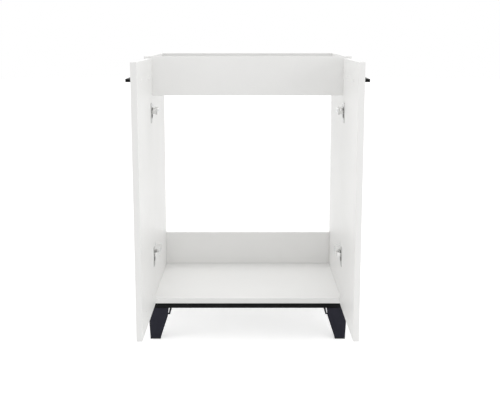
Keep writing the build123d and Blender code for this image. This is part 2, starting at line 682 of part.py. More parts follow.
def hinge_arm(z):
    """Folded channel that carries the link at its nose and slides over the mounting plate."""
    arm = arm_blank(z)
    web_edges = arm.edges().filter_by_position(Axis.X, ARM_WEB, ARM_WEB)
    arm = fillet([e for e in web_edges if abs(e.center().Z - z) > ARM_INSIDE], ARM_FOLD_RADIUS)
    channel = arm_widths(z, ARM_INSIDE, ARM_BODY_INSIDE)
    channel = Pos(ARM_WEB + ARM_SHEET, 0, 0) * extrude(channel, ARM_FOOT - ARM_WEB, dir=(1, 0, 0))
    nose_y = (LINK_Y - ARM_EYE_RADIUS, ARM_WEB_FRONT)
    nose = block((0, ARM_FOOT), nose_y, (z - ARM_INSIDE, z + ARM_INSIDE))
    arm = arm - channel - nose
    arm -= cross_pin(LINK_X, LINK_Y, z, ARM_OUTSIDE, PIN_CLEARANCE)
    arm -= arm_slot(z)
    return arm - arm_screw_shank(ARM_ADJUSTER_LINE, z, ARM_SCREW_RADIUS + SCREW_CLEARANCE)


def arm_screw_shank(y, z, radius):
    return rod((ARM_WEB, y, z), (1, 0, 0), ARM_SHEET + ARM_SCREW_BITE, radius)


def arm_screw(y, z, head_radius):
    """Screw through the arm's web into the mounting plate's block."""
    head = screw_head((ARM_WEB, y, z), (-1, 0, 0), ARM_SCREW_HEAD, head_radius)
    return head + arm_screw_shank(y, z, ARM_SCREW_RADIUS)


def plate_screw_places(z):
    half = PLATE_SCREW_SPACING / 2
    return [(ARM_SCREW_LINE, z - half), (ARM_SCREW_LINE, z + half)]


def plate_screw_shanks(z, gap):
    """The two screws of one mounting plate, from its face into the side panel."""
    start = PANEL_FACE - PLATE_THICKNESS
    length = PLATE_THICKNESS + PLATE_SCREW_BITE
    radius = PLATE_SCREW_RADIUS + gap
    return [rod((start, y, h), (1, 0, 0), length, radius) for y, h in plate_screw_places(z)]


def mounting_plate(z):
    """Winged plate on the side panel with a hollow block that fills the arm's channel."""
    face = PANEL_FACE - PLATE_THICKNESS
    place = Plane.YZ.offset(face) * Pos(ARM_SCREW_LINE, z)
    wings = RectangleRounded(PLATE_WING_WIDTH, PLATE_WING_SPAN, PLATE_WING_WIDTH / 2 - 1)
    wings = extrude(place * wings, PLATE_THICKNESS)
    half = ARM_BODY_INSIDE - PLATE_BLOCK_CLEARANCE
    roof = ARM_WEB + ARM_SHEET
    y = (PLATE_BLOCK_FRONT, PLATE_BLOCK_BACK)
    riser = block((roof, PANEL_FACE), y, (z - half, z + half))
    riser = chamfer(riser.edges().filter_by(Axis.Z), PLATE_THICKNESS / 2)
    tunnel_x = (roof + PLATE_TUNNEL_ROOF, roof + PLATE_TUNNEL_ROOF + PLATE_TUNNEL_HEIGHT)
    tunnel_half = half - PLATE_TUNNEL_WALL
    plate = wings + riser - block(tunnel_x, y, (z - tunnel_half, z + tunnel_half))
    for hole in plate_screw_shanks(z, SCREW_CLEARANCE):
        plate -= hole
    for line in (ARM_SCREW_LINE, ARM_ADJUSTER_LINE):
        plate -= arm_screw_shank(line, z, ARM_SCREW_RADIUS + SCREW_CLEARANCE)
    return plate


def plate_screws(z):
    """The two pan-head screws of one mounting plate."""
    screws = []
    for (y, h), shank in zip(plate_screw_places(z), plate_screw_shanks(z, 0)):
        start = (PANEL_FACE - PLATE_THICKNESS, y, h)
        head = screw_head(start, (-1, 0, 0), PLATE_SCREW_HEAD, PLATE_SCREW_HEAD_RADIUS)
        screws.append(head + shank)
    return screws


def hinge_link(z):
    """Stamped link: two cheeks joined by a bridge, a barrel on the arm's pin, an eye beyond."""
    tip_x, tip_y = link_tip()
    middle = ((LINK_X + tip_x) / 2, (LINK_Y + tip_y) / 2)
    cheek = Pos(*middle) * Rot(0, 0, LINK_REST_ANGLE)
    cheek = cheek * SlotCenterToCenter(LINK_LENGTH, 2 * LINK_HALF_WIDTH)
    low, high = z - LINK_HALF_HEIGHT, z + LINK_HALF_HEIGHT
    link = extrude(Plane.XY.offset(low) * cheek, LINK_CHEEK, dir=(0, 0, 1))
    upper = extrude(Plane.XY.offset(high - LINK_CHEEK) * cheek, LINK_CHEEK, dir=(0, 0, 1))
    bridge_length = LINK_LENGTH - 4 * LINK_HALF_WIDTH
    bridge = Pos(middle[0], middle[1], z) * Rot(0, 0, LINK_REST_ANGLE)
    bridge *= Pos(0, LINK_CHEEK / 2 - LINK_HALF_WIDTH, 0)
    bridge *= Box(bridge_length, LINK_CHEEK, 2 * LINK_HALF_HEIGHT)
    barrel_low = (LINK_X, LINK_Y, z - LINK_BARREL_HALF_HEIGHT)
    barrel = rod(barrel_low, (0, 0, 1), 2 * LINK_BARREL_HALF_HEIGHT, LINK_EYE_RADIUS)
    link = fuse(link, upper, bridge, barrel)
    for x, y in ((LINK_X, LINK_Y), (tip_x, tip_y)):
        link -= cross_pin(x, y, z, LINK_BARREL_HALF_HEIGHT, PIN_CLEARANCE)
    return link


# ---- writing the nodes
def write_carcass():
    right = side_panel()
    export_node("side_panel_right", right)
    export_node("side_panel_left", other_side(right))
    export_node("bottom_panel", bottom_panel())
    export_node("front_top_rail", crosswise_board((0, PANEL), FRONT_RAIL_Z, FRONT_SCREWS))
    export_node("rear_top_rail", crosswise_board(REAR_Y, REAR_TOP_RAIL_Z, REAR_TOP_SCREWS))
    rear_bottom = crosswise_board(REAR_Y, REAR_BOTTOM_RAIL_Z, REAR_BOTTOM_SCREWS)
    export_node("rear_bottom_rail", rear_bottom)
    screws = [assembly_screw(y, z, 0) for y, z in ALL_SCREWS]
    export_node("assembly_screws", *screws, *[other_side(screw) for screw in screws])
    caps = [screw_cap(y, z) for y, z in ALL_SCREWS]
    export_node("screw_caps", *caps, *[other_side(cap) for cap in caps])


def write_base():
    rear_y = CARCASS_DEPTH - FRAME_TUBE_WIDTH
    export_node("base_front_tube", cross_tube(0))
    export_node("base_rear_tube", cross_tube(rear_y))
    export_node("base_side_tube_right", side_tube())
    export_node("base_side_tube_left", other_side(side_tube()))
    plugs = [end_plug(0), end_plug(rear_y)]
    export_node("base_end_plugs", *plugs, *[other_side(plug) for plug in plugs])
    export_node("base_screws", *[base_screw_with_head(x, y) for x, y in base_screw_places()])
    names = ["front_right", "front_left", "rear_right", "rear_left"]
    for name, shape in zip(names, four_corners(leg())):
        export_node(f"leg_{name}", shape)
    export_node("leg_glides", *four_corners(glide()))
    export_node("leg_stays", *four_corners(leg_stay()))
    export_node("leg_bolts", *[leg_bolt(x, y) for x, y in all_leg_bolt_places()])


def write_doors():
    cup_screws = [cup_screw(p) for z in HINGE_HEIGHTS.values() for p in cup_screw_places(z)]
    handle_screws = [handle_screw(y) for y in HANDLE_HOLES]
    groups = {
        "door": [door()],
        "handle": [handle()],
        "handle_screws": handle_screws,
        "cup_screws": cup_screws,
    }
    for name, solids in groups.items():
        export_node(f"{name}_right", *solids)
        export_node(f"{name}_left", *[other_side(solid) for solid in solids])


def write_hinges():
    makers = {
        "hinge_cup": hinge_cup,
        "hinge_arm": hinge_arm,
        "mounting_plate": mounting_plate,
        "hinge_link": hinge_link,
    }
    for level, z in HINGE_HEIGHTS.items():
        for name, make in makers.items():
            piece = make(z)
            export_node(f"{name}_right_{level}", piece)
            export_node(f"{name}_left_{level}", other_side(piece))
    heights = list(HINGE_HEIGHTS.values())
    tip = link_tip()
    link_pins = [cross_pin(*tip, z, LINK_HALF_HEIGHT, 0) for z in heights]
    export_node("link_pins_right", *link_pins)
    export_node("link_pins_left", *[other_side(pin) for pin in link_pins])
    arm_pins = [cross_pin(LINK_X, LINK_Y, z, ARM_OUTSIDE, 0) for z in heights]
    export_node("arm_pins", *arm_pins, *[other_side(pin) for pin in arm_pins])
    arm_screws = [arm_screw(ARM_SCREW_LINE, z, ARM_SCREW_HEAD_RADIUS) for z in heights]
    arm_screws += [arm_screw(ARM_ADJUSTER_LINE, z, ARM_ADJUSTER_RADIUS) for z in heights]
    export_node("arm_screws", *arm_screws, *[other_side(screw) for screw in arm_screws])
    plates = [screw for z in heights for screw in plate_screws(z)]
    export_node("plate_screws", *plates, *[other_side(screw) for screw in plates])


os.makedirs("parts", exist_ok=True)
write_carcass()
write_base()
write_doors()
write_hinges()
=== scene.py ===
"""Finishes, stage and camera for the sink base cabinet, laid out as an add-on.

Lengths are metres in the part's own frame: +X across to the right as seen from the front,
+Y to the back and +Z up from the floor. The doors stand open towards -Y.
"""

import json
import math

import bpy
import numpy as np
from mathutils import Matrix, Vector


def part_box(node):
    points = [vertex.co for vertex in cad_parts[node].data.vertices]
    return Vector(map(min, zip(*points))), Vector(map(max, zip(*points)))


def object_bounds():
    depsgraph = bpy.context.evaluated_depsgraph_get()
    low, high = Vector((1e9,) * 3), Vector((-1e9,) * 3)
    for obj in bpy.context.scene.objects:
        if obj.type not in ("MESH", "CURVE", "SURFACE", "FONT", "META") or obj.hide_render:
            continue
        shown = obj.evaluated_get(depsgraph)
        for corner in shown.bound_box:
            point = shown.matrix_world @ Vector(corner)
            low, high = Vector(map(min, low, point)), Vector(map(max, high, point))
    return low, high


bl_info = {
    "name": "Sink base cabinet",
    "version": (1, 0, 0),
    "blender": (4, 5, 0),
    "location": "3D View > Sidebar > Cabinet",
    "description": "Gives a white board cabinet its finishes and a plain studio",
    "category": "Object",
}

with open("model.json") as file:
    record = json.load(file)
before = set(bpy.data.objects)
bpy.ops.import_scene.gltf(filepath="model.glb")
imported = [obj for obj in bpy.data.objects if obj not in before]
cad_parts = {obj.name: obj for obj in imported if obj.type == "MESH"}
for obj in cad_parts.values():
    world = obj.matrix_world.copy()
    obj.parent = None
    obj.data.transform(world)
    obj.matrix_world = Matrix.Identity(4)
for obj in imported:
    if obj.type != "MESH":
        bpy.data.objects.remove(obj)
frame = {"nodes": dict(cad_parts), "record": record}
CAD_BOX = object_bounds()

# each board, with the axis of its thickness
BOARDS = {
    "side_panel_left": "X",
    "side_panel_right": "X",
    "bottom_panel": "Z",
    "front_top_rail": "Y",
    "rear_top_rail": "Y",
    "rear_bottom_rail": "Y",
    "door_left": "X",
    "door_right": "X",
}
AXIS_VECTORS = {"X": (1, 0, 0), "Y": (0, 1, 0), "Z": (0, 0, 1)}

# how the broad unevenness under fine grains compares with them
BROAD_SCALE = 0.06
BROAD_HEIGHT = 0.6

# shares of the edge band's thickness: what is nearer to a face than the first is skin, and
# what is nearer to a narrow face than the second is band
SKIN_SHARE = 0.7
BAND_SHARE = 0.3
# how much of the band's colour, darkened partly as painted shade, shows, and half the width of the
# glue line beside it
BAND_COVER = 0.7
SEAM_HALF_WIDTH = 0.00035
# what bare chipboard adds to a board's roughness
CORE_ADDED_ROUGHNESS = 0.5

# dust on plastic, and how far drawn lines are squeezed along the drawing direction
PLASTIC_DUST = 0.05
PLASTIC_DUST_COLOUR = (0.45, 0.44, 0.42)
DRAWN_SQUEEZE = 0.06

# lamp, its place, and the width of its soft box
LAMPS = (
    ("top", (0.0, 1.0, 2.6), 1.8),
    ("left", (-2.6, -0.6, 0.9), 1.6),
    ("right", (2.6, -0.6, 0.9), 1.6),
    ("near", (1.1, -1.5, 0.9), 0.7),
    ("back", (0.0, 2.4, 1.6), 1.8),
)
SENSOR_WIDTH_MM = 36.0
FLOOR_RINGS = 24
FLOOR_SPOKES = 97
FLOOR_PINHOLE = 0.001
FLOOR_ROUGHNESS = 0.85

FLOAT = "NodeSocketFloat"
VECTOR = "NodeSocketVector"
COLOUR = "NodeSocketColor"


# ---- node helpers
def socket_or_value(tree, socket, value):
    """Link a socket, or set a plain value."""
    if isinstance(value, bpy.types.NodeSocket):
        tree.links.new(value, socket)
    else:
        socket.default_value = value


def add_node(tree, kind, inputs=None, **settings):
    """Make a node, set its options, then link or set its inputs by name or number."""
    made = tree.nodes.new(kind)
    for name, value in settings.items():
        setattr(made, name, value)
    for name, value in (inputs or {}).items():
        socket_or_value(tree, made.inputs[name], value)
    return made


def add_math(tree, operation, first, second=0.0, clamp=False):
    """One arithmetic step, returned as its output."""
    inputs = {0: first, 1: second}
    made = add_node(tree, "ShaderNodeMath", inputs, operation=operation, use_clamp=clamp)
    return made.outputs[0]


def add_scaled(tree, first, second, factor, clamp=False):
    """The first value plus the second times a factor."""
    scaled = add_math(tree, "MULTIPLY", second, factor)
    return add_math(tree, "ADD", first, scaled, clamp)


def add_vector_math(tree, operation, first, second, output=0):
    """One vector step, returned as its output. Output 1 is the single value."""
    inputs = {0: first, 1: second}
    made = add_node(tree, "ShaderNodeVectorMath", inputs, operation=operation)
    return made.outputs[output]


def add_ramp(tree, value, low, high, to_low=0.0, to_high=1.0):
    """Map low..high to to_low..to_high, held at both ends."""
    inputs = {0: value, 1: low, 2: high, 3: to_low, 4: to_high}
    return add_node(tree, "ShaderNodeMapRange", inputs).outputs[0]


def mix_colour(tree, share, first, second):
    """Blend two colours by a share."""
    inputs = {0: share, 6: first, 7: second}
    return add_node(tree, "ShaderNodeMix", inputs, data_type="RGBA").outputs[2]


def add_noise(tree, place, scale, detail, roughness):
    """Smooth noise from 0 to 1 at a number of grains to the metre."""
    inputs = {"Vector": place, "Scale": scale, "Detail": detail, "Roughness": roughness}
    return add_node(tree, "ShaderNodeTexNoise", inputs).outputs["Fac"]


def shade_of(colour, factor=1.0, lift=0.0):
    """Colour times a factor plus a lift, held at white, with its alpha."""
    return (*(min(1.0, part * factor + lift) for part in colour), 1.0)


def new_group(name, inputs, outputs):
    """Empty shader group with its sockets, returned with its two end nodes."""
    group = bpy.data.node_groups.new(name, "ShaderNodeTree")
    for label, kind, value in inputs:
        socket = group.interface.new_socket(label, in_out="INPUT", socket_type=kind)
        if value is not None:
            socket.default_value = value
    for label, kind in outputs:
        group.interface.new_socket(label, in_out="OUTPUT", socket_type=kind)
    return group, group.nodes.new("NodeGroupInput"), group.nodes.new("NodeGroupOutput")


def use_group(tree, name, inputs):
    """Place a shader group in a material."""
    made = tree.nodes.new("ShaderNodeGroup")
    made.node_tree = bpy.data.node_groups[name]
    for label, value in inputs.items():
        socket_or_value(tree, made.inputs[label], value)
    return made


# ---- effects that several finishes share
def build_surface_grain():
    """Fine bumps over broad unevenness, as coatings and pressed faces have."""
    inputs = [
        ("Place", VECTOR, None),
        ("Grains per metre", FLOAT, 900.0),
        ("Strength", FLOAT, 0.1),
        ("Depth", FLOAT, 0.0001),
    ]
    group, start, end = new_group("surface_grain", inputs, [("Normal", VECTOR)])
    place = start.outputs["Place"]
    fine_scale = start.outputs["Grains per metre"]
    broad_scale = add_math(group, "MULTIPLY", fine_scale, BROAD_SCALE)
    fine = add_noise(group, place, fine_scale, detail=3.0, roughness=0.55)
    broad = add_noise(group, place, broad_scale, detail=2.0, roughness=0.5)
    bump_inputs = {
        "Height": add_scaled(group, fine, broad, BROAD_HEIGHT),
        "Strength": start.outputs["Strength"],
        "Distance": start.outputs["Depth"],
    }
    bump = add_node(group, "ShaderNodeBump", bump_inputs)
    group.links.new(bump.outputs["Normal"], end.inputs["Normal"])


def build_uneven_gloss():
    """Roughness that drifts between two values, in cloudy patches with faint fine marks."""
    inputs = [
        ("Place", VECTOR, None),
        ("Patches per metre", FLOAT, 9.0),
        ("Low", FLOAT, 0.3),
        ("High", FLOAT, 0.45),
    ]
    group, start, end = new_group("uneven_gloss", inputs, [("Roughness", FLOAT)])
    place = start.outputs["Place"]
    low = start.outputs["Low"]
    patch_scale = start.outputs["Patches per metre"]
    patches = add_noise(group, place, patch_scale, detail=5.0, roughness=0.6)
    marks = add_noise(group, place, 260.0, detail=2.0, roughness=0.7)
    share = add_ramp(group, add_scaled(group, patches, marks, 0.35), 0.45, 0.9)
    spread = add_math(group, "SUBTRACT", start.outputs["High"], low)
    group.links.new(add_scaled(group, low, share, spread), end.inputs["Roughness"])


def build_board_zones():
    """Tell a board's drilled core, its banded edges and the seams beside them apart.

    For a board whose box is Low to High, the smallest distance from a point to the two broad
    faces is the depth, and the smallest to the four narrow faces is the inset. Core is where
    both are large, Edge where the inset is nearly none, and Seam is a hairline on the broad
    faces at an inset of one band thickness.
    """
    inputs = [
        ("Place", VECTOR, None),
        ("Low", VECTOR, None),
        ("High", VECTOR, None),
        ("Thickness axis", VECTOR, None),
        ("Band", FLOAT, 0.001),
    ]
    outputs = [("Core", FLOAT), ("Edge", FLOAT), ("Seam", FLOAT)]
    group, start, end = new_group("board_zones", inputs, outputs)
    place = start.outputs["Place"]
    axis = start.outputs["Thickness axis"]
    band = start.outputs["Band"]
    from_low = add_vector_math(group, "SUBTRACT", place, start.outputs["Low"])
    from_high = add_vector_math(group, "SUBTRACT", start.outputs["High"], place)
    nearest = add_vector_math(group, "MINIMUM", from_low, from_high)
    depth = add_vector_math(group, "DOT_PRODUCT", nearest, axis, output=1)
    # a metre more along the thickness keeps that axis out of the minimum
    pushed = add_vector_math(group, "ADD", nearest, axis)
    parts = add_node(group, "ShaderNodeSeparateXYZ", {0: pushed})
    inset = add_math(group, "MINIMUM", parts.outputs[0], parts.outputs[1])
    inset = add_math(group, "MINIMUM", inset, parts.outputs[2])
    skin = add_math(group, "MULTIPLY", band, SKIN_SHARE)
    deep = add_math(group, "GREATER_THAN", depth, skin)
    inside = add_math(group, "GREATER_THAN", inset, skin)
    core = add_math(group, "MULTIPLY", deep, inside)
    edge = add_math(group, "LESS_THAN", inset, add_math(group, "MULTIPLY", band, BAND_SHARE))
    off_seam = add_math(group, "ABSOLUTE", add_math(group, "SUBTRACT", inset, band))
    line = add_ramp(group, off_seam, 0.0, SEAM_HALF_WIDTH, 1.0, 0.0)
    shallow = add_math(group, "SUBTRACT", 1.0, deep)
    seam = add_math(group, "MULTIPLY", line, shallow)
    group.links.new(core, end.inputs["Core"])
    group.links.new(edge, end.inputs["Edge"])
    group.links.new(seam, end.inputs["Seam"])


def build_pressed_chips():
    """Chipboard core: pale and dark chips from cells, with fibres between them."""
    inputs = [("Place", VECTOR, None), ("Colour", COLOUR, None)]
    group, start, end = new_group("pressed_chips", inputs, [("Colour", COLOUR)])
    place = start.outputs["Place"]
    pale = start.outputs["Colour"]
    cells = add_node(group, "ShaderNodeTexVoronoi", {"Vector": place, "Scale": 900.0})
    shade = add_node(group, "ShaderNodeSeparateColor", {0: cells.outputs["Color"]})
    fibres = add_noise(group, place, 2400.0, detail=4.0, roughness=0.65)
    tone = add_math(group, "MULTIPLY", shade.outputs[0], 0.7)
    tone = add_scaled(group, tone, fibres, 0.5)
    dark = add_node(group, "ShaderNodeHueSaturation", {"Value": 0.45, "Color": pale})
    colour = mix_colour(group, tone, dark.outputs[0], pale)
    group.links.new(colour, end.inputs["Colour"])


def build_worn_and_highlit_edges():
    """Mask of outside edges, from how far a rounded normal leans off the flat one.

    It is broken up with noise, so that a coating looks rubbed in places and whole in others. Its
    lighter colour is partly a painted edge highlight.
    """
    inputs = [("Place", VECTOR, None), ("Radius", FLOAT, 0.0006), ("Amount", FLOAT, 0.5)]
    group, start, end = new_group("worn_edges", inputs, [("Mask", FLOAT)])
    rounded = add_node(group, "ShaderNodeBevel", {"Radius": start.outputs["Radius"]}, samples=4)
    flat = add_node(group, "ShaderNodeNewGeometry").outputs["True Normal"]
    same = add_vector_math(group, "DOT_PRODUCT", rounded.outputs[0], flat, output=1)
    lean = add_ramp(group, same, 0.99, 0.8)
    patches = add_noise(group, start.outputs["Place"], 140.0, detail=4.0, roughness=0.6)
    mask = add_math(group, "MULTIPLY", lean, add_ramp(group, patches, 0.42, 0.62))
    mask = add_math(group, "MULTIPLY", mask, start.outputs["Amount"], clamp=True)
    group.links.new(mask, end.inputs["Mask"])


def build_settled_dust():
    """Thin dust on faces that look up, thicker in cloudy patches."""
    inputs = [("Place", VECTOR, None), ("Amount", FLOAT, 0.1)]
    group, start, end = new_group("settled_dust", inputs, [("Mask", FLOAT)])
    normal = add_node(group, "ShaderNodeNewGeometry").outputs["Normal"]
    upward = add_node(group, "ShaderNodeSeparateXYZ", {0: normal}).outputs[2]
    patches = add_noise(group, start.outputs["Place"], 60.0, detail=5.0, roughness=0.65)
    facing = add_ramp(group, upward, 0.3, 0.95)
    mask = add_math(group, "MULTIPLY", facing, add_ramp(group, patches, 0.3, 0.75))
    mask = add_math(group, "MULTIPLY", mask, start.outputs["Amount"])
    group.links.new(mask, end.inputs["Mask"])


# ---- finishes
def new_finish(name):
    """Material with an empty tree, a Principled shader and the object's own coordinates."""
    material = bpy.data.materials.new(name)
    material.use_nodes = True
    tree = material.node_tree
    tree.nodes.clear()
    output = tree.nodes.new("ShaderNodeOutputMaterial")
    shader = tree.nodes.new("ShaderNodeBsdfPrincipled")
    tree.links.new(shader.outputs[0], output.inputs["Surface"])
    place = tree.nodes.new("ShaderNodeTexCoord").outputs["Object"]
    return material, tree, shader, place


def rub_and_highlight_edges(tree, place, base, colour, radius, amount):
    """Let another colour through where outside edges are rubbed; the lighter colours it gets are
    partly a painted edge highlight.
    """
    wear_inputs = {"Place": place, "Radius": radius, "Amount": amount}
    wear = use_group(tree, "worn_edges", wear_inputs)
    return mix_colour(tree, wear.outputs["Mask"], base, colour)


def lay_dust(tree, place, base, amount, colour):
    """Dust a colour over, returned with the dust's own mask."""
    dust = use_group(tree, "settled_dust", {"Place": place, "Amount": amount})
    return mix_colour(tree, dust.outputs["Mask"], base, colour), dust.outputs["Mask"]


def drift_gloss(tree, place, patches, low, spread):
    """Roughness that drifts from low to low plus spread."""
    inputs = {"Place": place, "Patches per metre": patches, "Low": low, "High": low + spread}
    return use_group(tree, "uneven_gloss", inputs).outputs["Roughness"]


def press_grain(tree, shader, place, grains, strength, depth):
    """Give a shader its fine bumps."""
    inputs = {"Place": place, "Grains per metre": grains, "Strength": strength, "Depth": depth}
    grain = use_group(tree, "surface_grain", inputs)
    tree.links.new(grain.outputs["Normal"], shader.inputs["Normal"])


def melamine(settings, node, axis, colour):
    """White pressed melamine on chipboard, with banded edges darkened partly as painted shade, and
    bare drilled holes.
    """
    material, tree, shader, place = new_finish(f"melamine_{node}")
    low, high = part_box(node)
    zone_inputs = {
        "Place": place,
        "Low": low,
        "High": high,
        "Thickness axis": AXIS_VECTORS[axis],
        "Band": settings.band_thickness,
    }
    zones = use_group(tree, "board_zones", zone_inputs)
    core = zones.outputs["Core"]
    share = add_ramp(tree, add_noise(tree, place, 5.0, detail=3.0, roughness=0.5), 0.3, 0.7)
    face = mix_colour(tree, share, shade_of(colour), shade_of(colour, settings.drift))
    # narrow faces take the band's white, which is darkened partly as painted shade
    band_and_shade_share = add_math(tree, "MULTIPLY", zones.outputs["Edge"], BAND_COVER)
    face = mix_colour(tree, band_and_shade_share, face, shade_of(settings.band_and_shade_colour))
    seam_share = add_math(tree, "MULTIPLY", zones.outputs["Seam"], settings.seam_strength)
    face = mix_colour(tree, seam_share, face, shade_of(settings.seam_colour))
    chip_inputs = {"Place": place, "Colour": shade_of(settings.core_colour)}
    chips = use_group(tree, "pressed_chips", chip_inputs)
    face = mix_colour(tree, core, face, chips.outputs["Colour"])
    tree.links.new(face, shader.inputs["Base Color"])
    gloss = drift_gloss(tree, place, patches=9.0, low=settings.roughness, spread=0.12)
    rough = add_scaled(tree, gloss, core, CORE_ADDED_ROUGHNESS, clamp=True)
    tree.links.new(rough, shader.inputs["Roughness"])
    grains = settings.grains_per_metre
    press_grain(tree, shader, place, grains, settings.grain_strength, depth=0.00008)
    shader.inputs["Specular IOR Level"].default_value = settings.shine
    return material


def coated_steel(name, settings, colour, shine):
    """Black powder coat: fine orange peel, rubbed edges that are partly a painted edge highlight,
    and a trace of dust.
    """
    material, tree, shader, place = new_finish(name)
    share = add_ramp(tree, add_noise(tree, place, 22.0, detail=4.0, roughness=0.6), 0.35, 0.7)
    pale = tuple(part + more for part, more in zip(colour, settings.coat_drift_colour))
    base = mix_colour(tree, share, shade_of(colour), shade_of(pale))
    # lighter rubbed edges: wear, and partly a painted edge highlight
    rubbed = shade_of(settings.rubbed_and_highlight_colour)
    base = rub_and_highlight_edges(tree, place, base, rubbed, radius=0.0007, amount=settings.edge_wear_and_highlight)
    base, dust = lay_dust(tree, place, base, settings.dust, shade_of(settings.dust_colour))
    tree.links.new(base, shader.inputs["Base Color"])
    gloss = drift_gloss(tree, place, patches=40.0, low=settings.coat_roughness, spread=0.15)
    rough = add_math(tree, "ADD", gloss, dust, clamp=True)
    tree.links.new(rough, shader.inputs["Roughness"])
    press_grain(tree, shader, place, grains=1500.0, strength=0.22, depth=0.00012)
    shader.inputs["Specular IOR Level"].default_value = shine
    return material


def moulded_plastic(name, colour, roughness):
    """Moulded plastic with a fine spark-eroded texture and a trace of dust."""
    material, tree, shader, place = new_finish(name)
    share = add_ramp(tree, add_noise(tree, place, 60.0, detail=3.0, roughness=0.6), 0.35, 0.7)
    pale = shade_of(colour, factor=1.15, lift=0.004)
    base = mix_colour(tree, share, shade_of(colour), pale)
    base, _ = lay_dust(tree, place, base, PLASTIC_DUST, shade_of(PLASTIC_DUST_COLOUR))
    tree.links.new(base, shader.inputs["Base Color"])
    gloss = drift_gloss(tree, place, patches=90.0, low=roughness, spread=0.12)
    tree.links.new(gloss, shader.inputs["Roughness"])
    press_grain(tree, shader, place, grains=2600.0, strength=0.18, depth=0.00006)
    return material


def plated_steel(name, colour, roughness, drawn_along, edge_tint=1.0):
    """Plated sheet or wire: metal with fine drawn lines, cloudy plating and lighter rubbed edges
    that are partly a painted edge highlight.

    The lines are noise squeezed along the drawing direction, so its grains are long that way.
    The edge tint darkens what the metal mirrors at a slant.
    """
    material, tree, shader, place = new_finish(name)
    squeeze = tuple(DRAWN_SQUEEZE if axis == drawn_along else 1.0 for axis in "XYZ")
    drawn = add_vector_math(tree, "MULTIPLY", place, squeeze)
    lines = add_noise(tree, drawn, 2200.0, detail=3.0, roughness=0.6)
    share = add_ramp(tree, add_noise(tree, place, 75.0, detail=4.0, roughness=0.55), 0.3, 0.7)
    base = mix_colour(tree, share, shade_of(colour), shade_of(colour, factor=0.86))
    # edges 1.2 times lighter: wear, and partly a painted edge highlight
    rubbed = shade_of(colour, factor=1.2)
    base = rub_and_highlight_edges(tree, place, base, rubbed, radius=0.0004, amount=0.4)
    tree.links.new(base, shader.inputs["Base Color"])
    rough = add_ramp(tree, lines, 0.3, 0.7, roughness, roughness + 0.14)
    rough = add_scaled(tree, rough, share, 0.06, clamp=True)
    tree.links.new(rough, shader.inputs["Roughness"])
    bump_inputs = {"Height": lines, "Strength": 0.12, "Distance": 0.00005}
    bump = add_node(tree, "ShaderNodeBump", bump_inputs)
    tree.links.new(bump.outputs["Normal"], shader.inputs["Normal"])
    shader.inputs["Metallic"].default_value = 1.0
    shader.inputs["Specular Tint"].default_value = (edge_tint, edge_tint, edge_tint, 1.0)
    return material


def dress(material, *names):
    """Put one finish on CAD nodes."""
    for name in names:
        for slot in frame["nodes"][name].material_slots:
            slot.material = material


def nodes_in_slot(slot):
    """Names of the nodes that the record puts in one material slot."""
    return [part["node"] for part in frame["record"]["subparts"] if part["material_slot"] == slot]


# ---- surfaces
def grid_mesh(name, points):
    """Mesh from a grid of points, one quad between each four neighbours."""
    rows, columns = points.shape[:2]
    index = np.arange(rows * columns).reshape(rows, columns)
    corners = [index[:-1, :-1], index[:-1, 1:], index[1:, 1:], index[1:, :-1]]
    quads = np.stack(corners, axis=-1).reshape(-1, 4)
    mesh = bpy.data.meshes.new(name)
    mesh.from_pydata(points.reshape(-1, 3), [], quads.tolist())
    mesh.polygons.foreach_set("use_smooth", np.ones(len(quads), dtype=bool))
    mesh.update()
    made = bpy.data.objects.new(name, mesh)
    bpy.context.scene.collection.objects.link(made)
    return made


def floor_points(reach, rings, spokes):
    """Flat disc: x = r cos a, y = r sin a, z = 0.

    r is a pinhole plus the reach times the square of a step that goes from 0 to 1.
    """
    radius = reach * np.linspace(0.0, 1.0, rings)[:, None] ** 2 + FLOOR_PINHOLE
    angle = np.linspace(0.0, 2 * np.pi, spokes)[None, :]
    x = radius * np.cos(angle)
    y = radius * np.sin(angle)
    return np.stack([x, y, np.zeros_like(x)], axis=-1)


# ---- stage
def seen_by_eye_or_mirror(tree):
    """1 for rays from the camera, reflected or refracted, and 0 for those that light things."""
    path = tree.nodes.new("ShaderNodeLightPath")
    seen = add_math(tree, "MAXIMUM", path.outputs["Is Camera Ray"], path.outputs["Is Glossy Ray"])
    return add_math(tree, "MAXIMUM", seen, path.outputs["Is Transmission Ray"])


def floor_paint(settings):
    """Pale paint that the camera sees lifted to white, while its shadows stay."""
    material, tree, shader, place = new_finish("floor_paint")
    drift = add_noise(tree, place, 1.5, detail=3.0, roughness=0.5)
    pale = shade_of(settings.floor_colour, factor=1.01)
    base = mix_colour(tree, drift, shade_of(settings.floor_colour), pale)
    tree.links.new(base, shader.inputs["Base Color"])
    shader.inputs["Roughness"].default_value = FLOOR_ROUGHNESS
    shader.inputs["Specular IOR Level"].default_value = 0.0
    lift = add_math(tree, "MULTIPLY", seen_by_eye_or_mirror(tree), settings.floor_lift)
    glow = add_node(tree, "ShaderNodeCombineColor", {0: lift, 1: lift, 2: lift})
    tree.links.new(glow.outputs[0], shader.inputs["Emission Color"])
    shader.inputs["Emission Strength"].default_value = 1.0
    return material


def build_world(settings):
    """White to the eye and in reflections, and a softer level for the light it gives."""
    world = bpy.data.worlds.new("studio_air")
    world.use_nodes = True
    tree = world.node_tree
    background = tree.nodes["Background"]
    seen = seen_by_eye_or_mirror(tree)
    strength = add_ramp(tree, seen, 0.0, 1.0, settings.sky_strength, 1.0)
    background.inputs["Color"].default_value = (1.0, 1.0, 1.0, 1.0)
    tree.links.new(strength, background.inputs["Strength"])
    bpy.context.scene.world = world


